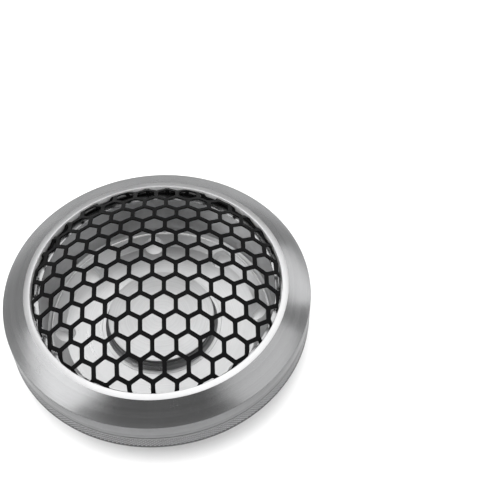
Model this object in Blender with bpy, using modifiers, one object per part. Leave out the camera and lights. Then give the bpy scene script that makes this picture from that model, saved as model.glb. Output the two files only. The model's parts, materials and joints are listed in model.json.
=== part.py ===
"""Car tweeter in a turned aluminium housing.

A cup with eight vents holds a small driver in its floor. Two rings screw on the cup's barrel: a
front ring that carries a domed grille, and a knurled lock ring that clamps a panel against a spacer.

Metres, +Z up. The origin is the centre of the rear face, which the part stands on, and +Z is the
direction of the sound. Every turned piece and every joint shares the Z axis.
"""

import math

import bmesh
import bpy
from mathutils import Matrix, Vector

# Driving dimensions: the outside
OUTER_RADIUS = 0.0360
BODY_HEIGHT = 0.0228
DOME_RISE = 0.0080

# Front ring
FRONT_RING_HEIGHT = 0.0061
BAND_HEIGHT = 0.0030
BEZEL_WIDTH = 0.0053
LIP_WIDTH = 0.0015
LIP_THICKNESS = 0.0012
RING_WALL = 0.0047
EDGE_BREAK = 0.00025

# Grille
HEX_PITCH = 0.00525
STRAND_WIDTH = 0.00108
SHEET_THICKNESS = 0.0008
HOOP_THICKNESS = 0.0012
SKIRT_DEPTH = 0.0021
HOOP_DROP = 0.0008
GRID_TURN = math.radians(2.6)
GRID_SHIFT = (-0.0003, 0.0027)
CLAMP_RING_THICKNESS = 0.0006
GASKET_THICKNESS = 0.0004

# Spacer and lock ring
SPACER_THICKNESS = 0.0011
SPACER_INSET = 0.0001
LOCK_RING_HEIGHT = 0.0054
LOCK_RING_REAR_RISE = 0.0010

# Cup
FLANK_HEIGHT = 0.0070
RIM_HEIGHT = 0.0026
RIM_WIDTH = 0.0013
REAR_RIM_WIDTH = 0.00215
FLOOR_TOP = 0.0055
FLOOR_THICKNESS = 0.0019
BARREL_WALL = 0.0034
INNER_STEP_WIDTH = 0.0008
INNER_STEP_HEIGHT = 0.0078
INNER_CONE_WIDTH = 0.0033

# Vents
VENT_COUNT = 8
VENT_RADIUS = 0.0025
VENT_INSET = 0.0032
VENT_TILT = math.radians(15)
VENT_PHASE = math.radians(8)

# Rear cap
CAP_RECESS = 0.00025
CAP_THICKNESS = 0.0010
CAP_SEAT_WIDTH = 0.00155
SEAL_THICKNESS = 0.0003
SEAL_WIDTH = 0.0009

# Driver
FRAME_RADIUS = 0.0130
FRAME_WALL = 0.0013
FRAME_FLANGE_WIDTH = 0.0043
FRAME_FLANGE_THICKNESS = 0.0008
FRAME_TOP = 0.0074
SURROUND_WIDTH = 0.00095
SURROUND_HEIGHT = 0.0006
DIAPHRAGM_THICKNESS = 0.0003
DIMPLE_RADIUS = 0.0007
DIMPLE_DEPTH = 0.00012
YOKE_WALL = 0.0014
YOKE_BASE = 0.0012
YOKE_HEIGHT = 0.0047
COIL_GAP_WIDTH = 0.0018
MAGNET_INSET = 0.0006
TOP_PLATE_THICKNESS = 0.0012
FELT_THICKNESS = 0.0006
FORMER_THICKNESS = 0.0003
WINDING_THICKNESS = 0.0006
WINDING_HEIGHT = 0.0014

# Driver screws and terminals
SCREW_COUNT = 3
SCREW_PHASE = math.radians(90)
SCREW_SHANK_RADIUS = 0.0008
SCREW_HEAD_RADIUS = 0.0017
SCREW_HEAD_HEIGHT = 0.0006
SCREW_SLOT_WIDTH = 0.0005
SCREW_SLOT_DEPTH = 0.00025
SCREW_LENGTH = 0.0025
BOARD_SIZE = (0.0070, 0.0030, 0.0003)
LUG_SIZE = (0.0016, 0.0026, 0.00025)
LUG_SPACING = 0.0038
WIRE_RADIUS = 0.0002
WIRE_SPACING = 0.0022
WIRE_BEND = 0.0005

# Clearances
THREAD_CLEARANCE = 0.0003
SEAT_GAP = 0.0003
CAP_GAP = 0.00025
BOND_GAP = 0.0002
COIL_CLEARANCE = 0.00035
DIAPHRAGM_TRAVEL = 0.0003

# Facets round a turned piece
VISIBLE_SEGMENTS = 48
INNER_SEGMENTS = 32
HOLE_SEGMENTS = 20
MERGE_DISTANCE = 0.00001

# Heights, from the rear face up
front_ring_bottom = BODY_HEIGHT - FRONT_RING_HEIGHT
crease_height = front_ring_bottom + BAND_HEIGHT
shoulder_height = BODY_HEIGHT - LIP_THICKNESS
clamp_ring_top = shoulder_height - SEAT_GAP
clamp_ring_bottom = clamp_ring_top - CLAMP_RING_THICKNESS
gasket_top = clamp_ring_bottom - SEAT_GAP
gasket_bottom = gasket_top - GASKET_THICKNESS
barrel_top = gasket_bottom - SEAT_GAP
skirt_bottom = BODY_HEIGHT - SKIRT_DEPTH
spacer_top = front_ring_bottom - SEAT_GAP
spacer_bottom = spacer_top - SPACER_THICKNESS
lock_ring_top = spacer_bottom - SEAT_GAP
lock_ring_bottom = lock_ring_top - LOCK_RING_HEIGHT
rim_top = FLANK_HEIGHT + RIM_HEIGHT
floor_bottom = FLOOR_TOP - FLOOR_THICKNESS
cap_top = CAP_RECESS + CAP_THICKNESS
seal_bottom = cap_top + BOND_GAP / 2
seal_top = seal_bottom + SEAL_THICKNESS
cap_seat = seal_top + BOND_GAP / 2
frame_flange_top = floor_bottom - SEAT_GAP
frame_bottom = frame_flange_top - FRAME_FLANGE_THICKNESS
surround_bottom = FRAME_TOP + BOND_GAP / 2
surround_top = surround_bottom + SURROUND_HEIGHT
diaphragm_bottom = surround_top + BOND_GAP
diaphragm_top = diaphragm_bottom + DIAPHRAGM_THICKNESS
yoke_bottom = cap_seat + BOND_GAP / 2
yoke_top = yoke_bottom + YOKE_HEIGHT
magnet_bottom = yoke_bottom + YOKE_BASE + BOND_GAP
top_plate_bottom = yoke_top - TOP_PLATE_THICKNESS
magnet_top = top_plate_bottom - BOND_GAP
felt_bottom = yoke_top + BOND_GAP
former_top = diaphragm_bottom - BOND_GAP
winding_bottom = yoke_top - (TOP_PLATE_THICKNESS + WINDING_HEIGHT) / 2
winding_top = winding_bottom + WINDING_HEIGHT
screw_seat = frame_bottom - BOND_GAP
screw_head_bottom = screw_seat - SCREW_HEAD_HEIGHT
board_top = frame_bottom - BOND_GAP
lug_top = board_top - BOARD_SIZE[2] - BOND_GAP

# Radii, from the outside in for the housing and from the middle out for the driver
window_radius = OUTER_RADIUS - BEZEL_WIDTH - LIP_WIDTH
ring_bore = OUTER_RADIUS - RING_WALL
barrel_radius = ring_bore - THREAD_CLEARANCE
hoop_radius = window_radius - SEAT_GAP
grille_radius = hoop_radius - (HOOP_THICKNESS - SHEET_THICKNESS) / 4
barrel_bore = barrel_radius - BARREL_WALL
flank_top_radius = barrel_radius - RIM_WIDTH
cone_top_radius = barrel_bore - INNER_STEP_WIDTH
cone_bottom_radius = cone_top_radius - INNER_CONE_WIDTH
frame_bore = FRAME_RADIUS - FRAME_WALL
frame_flange_radius = FRAME_RADIUS + FRAME_FLANGE_WIDTH
cavity_radius = frame_flange_radius + SEAT_GAP
cap_bore = cavity_radius + CAP_SEAT_WIDTH
cap_radius = cap_bore - CAP_GAP
rear_radius = cap_bore + REAR_RIM_WIDTH
yoke_radius = frame_bore - SEAT_GAP
yoke_bore = yoke_radius - YOKE_WALL
pole_radius = yoke_bore - COIL_GAP_WIDTH
former_bore = pole_radius + COIL_CLEARANCE
winding_bore = former_bore + FORMER_THICKNESS + BOND_GAP / 2
screw_circle = (FRAME_RADIUS + frame_flange_radius) / 2
wire_slot = frame_bore - 2 * SEAT_GAP - 2 * WIRE_RADIUS


# Scene and materials
def clear_scene():
    for obj in list(bpy.data.objects):
        bpy.data.objects.remove(obj)


def new_collection(name):
    collection = bpy.data.collections.new(name)
    bpy.context.scene.collection.children.link(collection)
    return collection


def surface(name, colour, roughness, metallic):
    material = bpy.data.materials.new(name)
    material.use_nodes = True
    shader = material.node_tree.nodes["Principled BSDF"]
    shader.inputs["Base Color"].default_value = (*colour, 1.0)
    shader.inputs["Roughness"].default_value = roughness
    shader.inputs["Metallic"].default_value = metallic
    return material


clear_scene()
tweeter = new_collection("car_tweeter")
cutters = new_collection("cutters")

turned_aluminium = surface("turned_aluminium", (0.80, 0.80, 0.81), 0.30, 1.0)
knurled_aluminium = surface("knurled_aluminium", (0.72, 0.72, 0.73), 0.42, 1.0)
black_steel = surface("black_steel", (0.012, 0.012, 0.013), 0.38, 0.2)
plated_steel = surface("plated_steel", (0.62, 0.62, 0.60), 0.28, 1.0)
magnet_nickel = surface("magnet_nickel", (0.66, 0.64, 0.60), 0.22, 1.0)
copper = surface("copper", (0.72, 0.34, 0.18), 0.35, 1.0)
brass = surface("brass", (0.78, 0.60, 0.28), 0.30, 1.0)
rubber = surface("rubber", (0.02, 0.02, 0.02), 0.75, 0.0)
felt = surface("felt", (0.05, 0.05, 0.055), 0.95, 0.0)
board_laminate = surface("board_laminate", (0.10, 0.16, 0.09), 0.55, 0.0)
former_foil = surface("former_foil", (0.55, 0.42, 0.22), 0.45, 0.2)
red_sleeve = surface("red_sleeve", (0.45, 0.03, 0.03), 0.5, 0.0)
black_sleeve = surface("black_sleeve", (0.02, 0.02, 0.02), 0.5, 0.0)


# Shapes
def new_object(name, data, collection, material=None):
    obj = bpy.data.objects.new(name, data)
    collection.objects.link(obj)
    if material is not None:
        data.materials.append(material)
    return obj


def mark_edges(mesh):
    mesh.shade_smooth()
    mesh.set_sharp_from_angle(angle=math.radians(25))


def baked_mesh(obj):
    """The object's mesh with its modifiers applied."""
    graph = bpy.context.evaluated_depsgraph_get()
    return bpy.data.meshes.new_from_object(obj.evaluated_get(graph))


def turned(name, profile, seat, material, segments=VISIBLE_SEGMENTS, collection=tweeter):
    """A profile of (radius, height) turned about Z. It runs down its outer side, and a profile that
    doesn't touch the axis is closed. The object's origin is on the axis at the seat's height."""
    mesh = bpy.data.meshes.new(name)
    points = [(radius, 0.0, height - seat) for radius, height in profile]
    edges = [(i, i + 1) for i in range(len(points) - 1)]
    if profile[0][0] > 0:
        edges.append((len(points) - 1, 0))
    mesh.from_pydata(points, edges, [])
    obj = new_object(name, mesh, collection, material)
    obj.location.z = seat
    screw = obj.modifiers.new("Turn", "SCREW")
    screw.axis = "Z"
    screw.steps = screw.render_steps = segments
    screw.use_merge_vertices = True
    screw.merge_threshold = MERGE_DISTANCE
    bpy.context.view_layer.update()
    solid = baked_mesh(obj)
    obj.modifiers.clear()
    obj.data = solid
    bpy.data.meshes.remove(mesh)
    solid.name = name
    mark_edges(solid)
    return obj


def ring(
    name, inner, outer, bottom, top, material, segments=INNER_SEGMENTS, collection=tweeter
):
    profile = [(outer, top), (outer, bottom), (inner, bottom), (inner, top)]
    return turned(name, profile, bottom, material, segments, collection)


def disc(name, radius, bottom, top, material, segments=INNER_SEGMENTS):
    profile = [(0.0, top), (radius, top), (radius, bottom), (0.0, bottom)]
    return turned(name, profile, bottom, material, segments)


def hidden_ring(name, inner, outer, bottom, top):
    """A ring that only cuts or joins."""
    obj = ring(name, inner, outer, bottom, top, black_steel, VISIBLE_SEGMENTS, cutters)
    obj.hide_render = True
    obj.display_type = "WIRE"
    return obj


def cylinder_cutter(name, radius, length, matrix):
    """A cylinder along its own Z from 0 to its length, placed by a matrix."""
    mesh = bpy.data.meshes.new(name)
    bm = bmesh.new()
    bmesh.ops.create_cone(
        bm,
        cap_ends=True,
        segments=HOLE_SEGMENTS,
        radius1=radius,
        radius2=radius,
        depth=length,
        matrix=Matrix.Translation((0, 0, length / 2)),
    )
    bm.to_mesh(mesh)
    bm.free()
    return as_cutter(name, mesh, matrix)


def box_mesh(name, size):
    mesh = bpy.data.meshes.new(name)
    bm = bmesh.new()
    bmesh.ops.create_cube(bm, size=1.0, matrix=Matrix.Diagonal((*size, 1.0)))
    bm.to_mesh(mesh)
    bm.free()
    return mesh


def as_cutter(name, mesh, matrix):
    obj = new_object(name, mesh, cutters)
    obj.matrix_world = matrix
    obj.hide_render = True
    obj.display_type = "WIRE"
    return obj


def cut(obj, cutter):
    boolean = obj.modifiers.new(cutter.name, "BOOLEAN")
    boolean.operation = "DIFFERENCE"
    boolean.solver = "EXACT"
    boolean.object = cutter


def around(angle, radius, height, tilt=0.0):
    """A frame at an angle round Z, whose own Z leans towards the axis by the tilt."""
    return (
        Matrix.Rotation(angle, 4, "Z")
        @ Matrix.Translation((radius, 0, height))
        @ Matrix.Rotation(-tilt, 4, "Y")
    )


def holes_round(obj, name, count, phase, radius, length, centre_radius, height, tilt=0.0):
    """Equal holes on a circle. The height is where a hole's axis starts."""
    for i in range(count):
        matrix = around(phase + i * math.tau / count, centre_radius, height, tilt)
        cut(obj, cylinder_cutter(f"{name}_{i + 1}", radius, length, matrix))


# Housing
def make_rear_cup():
    profile = [
        (barrel_radius, barrel_top),
        (barrel_radius, rim_top),
        (flank_top_radius, FLANK_HEIGHT),
        (rear_radius, 0.0),
        (cap_bore, 0.0),
        (cap_bore, cap_seat),
        (cavity_radius, cap_seat),
        (cavity_radius, floor_bottom),
        (FRAME_RADIUS + SEAT_GAP, floor_bottom),
        (FRAME_RADIUS + SEAT_GAP, FLOOR_TOP),
        (cone_bottom_radius, FLOOR_TOP),
        (cone_top_radius, INNER_STEP_HEIGHT),
        (barrel_bore, INNER_STEP_HEIGHT),
        (barrel_bore, barrel_top),
    ]
    cup = turned("rear_cup", profile, 0.0, turned_aluminium)

    # Each vent leans in from the middle of the flank and comes out where the floor meets the wall.
    vent_radius_at_flank = rear_radius + VENT_INSET
    flank_slope = FLANK_HEIGHT / (flank_top_radius - rear_radius)
    start = 2 * VENT_RADIUS
    start_height = VENT_INSET * flank_slope - start * math.cos(VENT_TILT)
    start_radius = vent_radius_at_flank + start * math.sin(VENT_TILT)
    length = start + FLOOR_TOP + VENT_RADIUS
    holes_round(
        cup, "vent", VENT_COUNT, VENT_PHASE, VENT_RADIUS, length, start_radius, start_height, VENT_TILT
    )
    holes_round(
        cup,
        "floor_screw_hole",
        SCREW_COUNT,
        SCREW_PHASE,
        SCREW_SHANK_RADIUS + SEAT_GAP,
        SCREW_LENGTH + SEAT_GAP,
        screw_circle,
        screw_seat,
    )
    return cup


def make_rear_cap():
    profile = [
        (0.0, cap_top),
        (cap_radius, cap_top),
        (cap_radius, CAP_RECESS + EDGE_BREAK),
        (cap_radius - EDGE_BREAK, CAP_RECESS),
        (0.0, CAP_RECESS),
    ]
    turned("rear_cap", profile, CAP_RECESS, turned_aluminium)
    seal_radius = (cavity_radius + cap_bore) / 2
    ring(
        "cap_seal_ring",
        seal_radius - SEAL_WIDTH / 2,
        seal_radius + SEAL_WIDTH / 2,
        seal_bottom,
        seal_top,
        rubber,
    )


# Front ring and what it holds
def make_front_ring():
    profile = [
        (window_radius + LIP_WIDTH, BODY_HEIGHT),
        (OUTER_RADIUS - EDGE_BREAK, crease_height + EDGE_BREAK / 2),
        (OUTER_RADIUS, crease_height - EDGE_BREAK / 2),
        (OUTER_RADIUS, front_ring_bottom + EDGE_BREAK),
        (OUTER_RADIUS - EDGE_BREAK, front_ring_bottom),
        (ring_bore, front_ring_bottom),
        (ring_bore, shoulder_height),
        (window_radius, shoulder_height),
        (window_radius, BODY_HEIGHT),
    ]
    turned("front_ring", profile, front_ring_bottom, turned_aluminium)
    ring(
        "grille_clamp_ring",
        window_radius,
        barrel_radius,
        clamp_ring_bottom,
        clamp_ring_top,
        plated_steel,
        VISIBLE_SEGMENTS,
    )
    ring(
        "grille_gasket",
        window_radius + SEAT_GAP,
        barrel_radius - SEAT_GAP,
        gasket_bottom,
        gasket_top,
        rubber,
        VISIBLE_SEGMENTS,
    )


def on_dome(point, dome_radius, dome_edge):
    """Wraps a flat point round the grille's dome by arc length, and past its edge down the skirt."""
    distance = point.length
    if distance < MERGE_DISTANCE:
        return Vector((0, 0, BODY_HEIGHT + DOME_RISE))
    outwards = point / distance
    if distance <= dome_edge:
        angle = distance / dome_radius
        height = BODY_HEIGHT + DOME_RISE - dome_radius * (1 - math.cos(angle))
        return outwards * dome_radius * math.sin(angle) + Vector((0, 0, height))
    return outwards * grille_radius + Vector((0, 0, BODY_HEIGHT - (distance - dome_edge)))


def honeycomb(limit):
    """Flat hexagonal cells with their corners on +Y and -Y, out to a limit, as strands with open middles."""
    bm = bmesh.new()
    row_height = HEX_PITCH * math.sqrt(3) / 2
    reach = int(limit / row_height) + 2
    turn = Matrix.Rotation(GRID_TURN, 4, "Z")
    for row in range(-reach, reach + 1):
        for column in range(-reach, reach + 1):
            x = (column + (row % 2) / 2) * HEX_PITCH + GRID_SHIFT[0]
            centre = turn @ Vector((x, row * row_height + GRID_SHIFT[1], 0))
            if centre.length < limit:
                bmesh.ops.create_circle(
                    bm,
                    cap_ends=True,
                    segments=6,
                    radius=HEX_PITCH / math.sqrt(3),
                    matrix=Matrix.Translation(centre) @ turn,
                )
    bmesh.ops.remove_doubles(bm, verts=bm.verts, dist=STRAND_WIDTH / 4)
    cells = list(bm.faces)
    bmesh.ops.inset_individual(bm, faces=cells, thickness=STRAND_WIDTH / 2)
    bmesh.ops.delete(bm, geom=cells, context="FACES_ONLY")
    return bm


def make_grille():
    dome_radius = (grille_radius**2 + DOME_RISE**2) / (2 * DOME_RISE)
    dome_edge = dome_radius * math.asin(grille_radius / dome_radius)
    bm = honeycomb(dome_edge + HEX_PITCH / 4)
    for vertex in bm.verts:
        vertex.co = on_dome(vertex.co, dome_radius, dome_edge)
    bmesh.ops.recalc_face_normals(bm, faces=bm.faces)
    if sum(face.normal.z for face in bm.faces) < 0:
        bmesh.ops.reverse_faces(bm, faces=bm.faces)
    mesh = bpy.data.meshes.new("grille_mesh")
    bm.to_mesh(mesh)
    bm.free()
    grille = new_object("grille_mesh", mesh, tweeter, black_steel)
    thicken = grille.modifiers.new("Sheet", "SOLIDIFY")
    thicken.thickness = SHEET_THICKNESS
    thicken.offset = -1

    # The strands are trimmed halfway down a hoop that joins their ends: the sheet's rolled skirt.
    hoop_top = BODY_HEIGHT - HOOP_DROP
    hoop_bore = hoop_radius - HOOP_THICKNESS
    trim_top = (hoop_top + skirt_bottom) / 2
    trim_bottom = skirt_bottom - HEX_PITCH
    trim = hidden_ring("grille_trim", hoop_bore - HEX_PITCH, window_radius, trim_bottom, trim_top)
    cut(grille, trim)
    hoop = hidden_ring("grille_hoop", hoop_bore, hoop_radius, skirt_bottom, hoop_top)
    join = grille.modifiers.new("Hoop", "BOOLEAN")
    join.operation = "UNION"
    join.solver = "EXACT"
    join.object = hoop


# Spacer and lock ring
def make_panel_clamp():
    ring(
        "flange_spacer",
        ring_bore,
        OUTER_RADIUS - SPACER_INSET,
        spacer_bottom,
        spacer_top,
        turned_aluminium,
        VISIBLE_SEGMENTS,
    )
    profile = [
        (OUTER_RADIUS - EDGE_BREAK, lock_ring_top),
        (OUTER_RADIUS, lock_ring_top - EDGE_BREAK),
        (OUTER_RADIUS, lock_ring_bottom + LOCK_RING_REAR_RISE + EDGE_BREAK),
        (OUTER_RADIUS - EDGE_BREAK, lock_ring_bottom + LOCK_RING_REAR_RISE),
        (ring_bore + EDGE_BREAK, lock_ring_bottom),
        (ring_bore, lock_ring_bottom + EDGE_BREAK),
        (ring_bore, lock_ring_top),
    ]
    turned("lock_ring", profile, lock_ring_bottom, knurled_aluminium)


# Driver
def make_frame():
    profile = [
        (FRAME_RADIUS, FRAME_TOP),
        (FRAME_RADIUS, frame_flange_top),
        (frame_flange_radius, frame_flange_top),
        (frame_flange_radius, frame_bottom),
        (frame_bore, frame_bottom),
        (frame_bore, FRAME_TOP),
    ]
    frame = turned("driver_frame", profile, frame_bottom, turned_aluminium, INNER_SEGMENTS)
    holes_round(
        frame,
        "flange_screw_hole",
        SCREW_COUNT,
        SCREW_PHASE,
        SCREW_SHANK_RADIUS + SEAT_GAP,
        FRAME_FLANGE_THICKNESS + 2 * SEAT_GAP,
        screw_circle,
        frame_bottom - SEAT_GAP,
    )


def make_frame_screws():
    profile = [
        (0.0, screw_seat + SCREW_LENGTH),
        (SCREW_SHANK_RADIUS, screw_seat + SCREW_LENGTH),
        (SCREW_SHANK_RADIUS, screw_seat),
        (SCREW_HEAD_RADIUS, screw_seat),
        (SCREW_HEAD_RADIUS, screw_head_bottom),
        (0.0, screw_head_bottom),
    ]
    slot_size = (3 * SCREW_HEAD_RADIUS, SCREW_SLOT_WIDTH, 2 * SCREW_SLOT_DEPTH)
    for i in range(SCREW_COUNT):
        screw = turned(
            f"frame_screw_{i + 1}", profile, screw_head_bottom, plated_steel, HOLE_SEGMENTS
        )
        place = around(SCREW_PHASE + i * math.tau / SCREW_COUNT, screw_circle, screw_head_bottom)
        screw.matrix_world = place
        slot_name = f"screw_slot_{i + 1}"
        cut(screw, as_cutter(slot_name, box_mesh(slot_name, slot_size), place))


def make_motor():
    profile = [
        (0.0, yoke_bottom + YOKE_BASE),
        (yoke_bore, yoke_bottom + YOKE_BASE),
        (yoke_bore, yoke_top),
        (yoke_radius, yoke_top),
        (yoke_radius, yoke_bottom),
        (0.0, yoke_bottom),
    ]
    yoke = turned("yoke", profile, yoke_bottom, plated_steel, INNER_SEGMENTS)
    slot_size = (2 * yoke_radius, 2 * yoke_radius, 2 * YOKE_HEIGHT + 2 * yoke_bottom)
    slot_place = Matrix.Translation((0, -wire_slot - yoke_radius, yoke_bottom))
    cut(yoke, as_cutter("yoke_wire_flat", box_mesh("yoke_wire_flat", slot_size), slot_place))
    disc("magnet", pole_radius - MAGNET_INSET, magnet_bottom, magnet_top, magnet_nickel)
    disc("top_plate", pole_radius, top_plate_bottom, yoke_top, plated_steel)
    disc(
        "damping_felt",
        pole_radius - MAGNET_INSET,
        felt_bottom,
        felt_bottom + FELT_THICKNESS,
        felt,
    )


def make_moving_system():
    rest_radius = FRAME_RADIUS - BOND_GAP / 2
    profile = [
        (0.0, diaphragm_top - DIMPLE_DEPTH),
        (DIMPLE_RADIUS / 2, diaphragm_top - DIMPLE_DEPTH),
        (DIMPLE_RADIUS, diaphragm_top),
        (rest_radius, diaphragm_top),
        (rest_radius, diaphragm_bottom),
        (0.0, diaphragm_bottom),
    ]
    turned("diaphragm", profile, diaphragm_bottom, turned_aluminium)
    ring(
        "voice_coil_former",
        former_bore,
        former_bore + FORMER_THICKNESS,
        winding_bottom,
        former_top,
        former_foil,
    )
    ring(
        "voice_coil_winding",
        winding_bore,
        winding_bore + WINDING_THICKNESS,
        winding_bottom,
        winding_top,
        copper,
    )
    ring(
        "surround",
        rest_radius - SURROUND_WIDTH,
        rest_radius,
        surround_bottom,
        surround_top,
        rubber,
    )


def make_terminals():
    board_centre = Vector((0, -screw_circle, board_top - BOARD_SIZE[2] / 2))
    board = new_object(
        "terminal_board", box_mesh("terminal_board", BOARD_SIZE), tweeter, board_laminate
    )
    board.location = board_centre
    poles = (("positive", 1, red_sleeve), ("negative", -1, black_sleeve))
    for pole, side, sleeve in poles:
        name = f"terminal_lug_{pole}"
        lug = new_object(name, box_mesh(name, LUG_SIZE), tweeter, brass)
        lug.location = (side * LUG_SPACING / 2, board_centre.y, lug_top - LUG_SIZE[2] / 2)
        make_lead_wire(f"lead_wire_{pole}", side, lug, sleeve)


def make_lead_wire(name, side, lug, material):
    """From the lug's inner end, in under the frame, up the yoke's flat and in over the coil gap."""
    start_x = side * LUG_SPACING / 2
    end_x = side * WIRE_SPACING / 2
    start_y = lug.location.y + LUG_SIZE[1] / 2 + BOND_GAP
    run_z = lug.location.z
    riser_y = -(wire_slot + SEAT_GAP + WIRE_RADIUS)
    over_z = yoke_top + SEAT_GAP + WIRE_RADIUS + WIRE_BEND / 2
    route = [
        Vector((start_x, start_y, run_z)),
        Vector(((start_x + end_x) / 2, (start_y + riser_y) / 2, run_z)),
        Vector((end_x, riser_y - WIRE_BEND / 2, run_z)),
        Vector((end_x, riser_y, run_z + WIRE_BEND / 2)),
        Vector((end_x, riser_y, over_z - WIRE_BEND)),
        Vector((end_x, riser_y + WIRE_BEND / 4, over_z - WIRE_BEND / 4)),
        Vector((end_x, riser_y + WIRE_BEND, over_z)),
    ]
    curve = bpy.data.curves.new(name, "CURVE")
    curve.dimensions = "3D"
    curve.bevel_depth = WIRE_RADIUS
    curve.bevel_resolution = 2
    curve.use_fill_caps = True
    spline = curve.splines.new("POLY")
    spline.points.add(len(route) - 1)
    for point, place in zip(spline.points, route):
        point.co = (*place, 1.0)
    new_object(name, curve, tweeter, material)


def parent_group(name, members, height):
    """An empty on the Z axis that moves its pieces together."""
    empty = new_object(name, None, tweeter)
    empty.location.z = height
    bpy.context.view_layer.update()
    for member in members:
        piece = bpy.data.objects[member]
        piece.parent = empty
        piece.matrix_parent_inverse = empty.matrix_world.inverted()


make_rear_cup()
make_rear_cap()
make_front_ring()
make_grille()
make_panel_clamp()
make_frame()
make_frame_screws()
make_motor()
make_moving_system()
make_terminals()
parent_group("front_ring_axis", ["front_ring"], front_ring_bottom)
parent_group("grille_slide", ["grille_mesh", "grille_clamp_ring", "grille_gasket"], skirt_bottom)
parent_group("spacer_slide", ["flange_spacer"], spacer_bottom)
parent_group("lock_ring_axis", ["lock_ring"], lock_ring_bottom)
parent_group(
    "diaphragm_slide",
    ["diaphragm", "voice_coil_former", "voice_coil_winding"],
    diaphragm_bottom,
)
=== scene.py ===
"""The looks of the car tweeter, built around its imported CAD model.

The housing is turned aluminium, so most pieces are an outline turned round Z with rounded edges. The
grille is a pressed sheet of hexagonal cells, and the lock ring has a cut diamond knurl. Metres, +Z up,
in the frame of the CAD: the origin is the centre of the rear face, which the tweeter stands on.
"""

import json
import math

import bmesh
import bpy
from mathutils import Matrix, Vector

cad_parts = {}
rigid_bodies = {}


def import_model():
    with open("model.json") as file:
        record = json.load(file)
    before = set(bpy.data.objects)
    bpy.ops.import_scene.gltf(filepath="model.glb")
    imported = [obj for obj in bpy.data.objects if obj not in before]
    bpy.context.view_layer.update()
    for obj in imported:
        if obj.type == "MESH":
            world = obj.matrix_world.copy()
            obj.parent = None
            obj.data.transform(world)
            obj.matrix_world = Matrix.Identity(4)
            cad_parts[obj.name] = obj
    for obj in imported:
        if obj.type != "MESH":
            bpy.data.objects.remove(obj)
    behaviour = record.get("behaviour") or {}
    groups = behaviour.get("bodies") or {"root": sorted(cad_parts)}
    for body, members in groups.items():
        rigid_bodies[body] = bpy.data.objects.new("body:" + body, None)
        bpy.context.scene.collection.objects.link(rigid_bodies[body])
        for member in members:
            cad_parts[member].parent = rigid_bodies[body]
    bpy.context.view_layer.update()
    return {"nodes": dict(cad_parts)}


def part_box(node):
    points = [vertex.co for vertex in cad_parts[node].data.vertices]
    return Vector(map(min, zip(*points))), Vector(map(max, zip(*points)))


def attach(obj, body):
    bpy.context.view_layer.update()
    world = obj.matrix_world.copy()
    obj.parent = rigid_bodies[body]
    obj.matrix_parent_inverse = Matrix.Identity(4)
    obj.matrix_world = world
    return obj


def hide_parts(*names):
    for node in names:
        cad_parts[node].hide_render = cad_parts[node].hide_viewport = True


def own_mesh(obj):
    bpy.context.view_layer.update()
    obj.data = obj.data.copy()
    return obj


MM = 0.001

# Turning
ROUND_SEGMENTS = 256
SMALL_SEGMENTS = 128
ARC_STEPS = 4
SHARP_ANGLE = math.radians(35)

# Front ring
LIP_WIDTH = 1.5 * MM
LIP_DROP = 0.22 * MM
LIP_THICKNESS = 1.6 * MM
BAND_HEIGHT = 3.0 * MM
LIP_ROUNDING = 0.12 * MM
CREASE_ROUNDING = 0.3 * MM

# Threads, which travel 1 mm a turn
THREAD_PITCH = 1.0 * MM
THREAD_DEPTH = 0.22 * MM
THREAD_STEP = THREAD_PITCH / 8

# Grille
HEX_PITCH = 5.25 * MM
STRAND_WIDTH = 0.96 * MM
SHEET_THICKNESS = 0.32 * MM
HOLE_ROUNDING = 0.45 * MM
SHEET_EDGE = 0.06 * MM
SHEET_STRETCH = 0.028
BRIM_ROUNDING = 0.9 * MM
GRID_TURN = math.radians(2.6)
GRID_SHIFT = (-0.3 * MM, 2.7 * MM)

# Pieces that rest on each other close most of the clearance between the CAD solids
SEAT_CLOSING = 0.1 * MM

# Lock ring
KNURL_COLUMNS = 240
KNURL_SAMPLES = 4
KNURL_HEIGHT = 1.0 * MM
KNURL_DEPTH = 0.3 * MM
KNURL_MARGIN = 0.25 * MM
KNURL_GROOVE = 0.8
LOCK_RING_REAR_RISE = 1.0 * MM
LOCK_RING_EDGE = 0.3 * MM
# Painted shade: a dark band round the lock ring's foot, up to this height above the knurl's lower end
PAINTED_SHADE_HEIGHT = 0.35 * MM

# Cup
FLANK_HEIGHT = 7.0 * MM
FLANK_TOP_WIDTH = 1.3 * MM
RIM_HEIGHT = 2.6 * MM
REAR_RIM_WIDTH = 2.15 * MM
FLOOR_TOP = 5.5 * MM
BARREL_WALL = 3.4 * MM
INNER_STEP_WIDTH = 0.8 * MM
INNER_STEP_HEIGHT = 7.8 * MM
INNER_CONE_WIDTH = 3.3 * MM
BEAD_WIDTH = 0.5 * MM
COLLAR_WIDTH = 1.3 * MM
HAIRLINE = 0.09 * MM

# Vents
VENT_COUNT = 8
VENT_RADIUS = 2.5 * MM
VENT_INSET = 3.2 * MM
VENT_TILT = math.radians(15)
VENT_PHASE = math.radians(8)
VENT_SEGMENTS = 64

# Driver
FOOT_WIDTH = 0.8 * MM
FOOT_HEIGHT = 0.6 * MM
DIMPLE_RADIUS = 0.7 * MM
DIMPLE_DEPTH = 0.12 * MM

# Studio
FLOOR_RADIUS = 4.0
FLOOR_DROP = 0.05 * MM
LIGHT_AIM = (0, 0, 0.01)
# Each light's place, its size and its power in watts
LIGHTS = {
    "back_light": ((0.0, 0.25, 0.66), (0.60, 0.54), 1.95),
    "left_light": ((-0.50, -0.07, 0.54), (0.55, 0.42), 1.35),
    "right_light": ((0.50, -0.07, 0.54), (0.55, 0.42), 0.72),
    "side_light": ((0.54, 0.47, 0.30), (0.34, 0.28), 0.36),
    "front_light": ((0.0, -0.68, 0.32), (0.70, 0.30), 0.30),
    "under_light": ((-0.12, 0.20, -0.45), (0.40, 0.40), 0.9),
}
FILL_STRENGTH = 2.9
FILL_ANGLE = math.radians(44)
FILL_TILT = math.radians(15)
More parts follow.
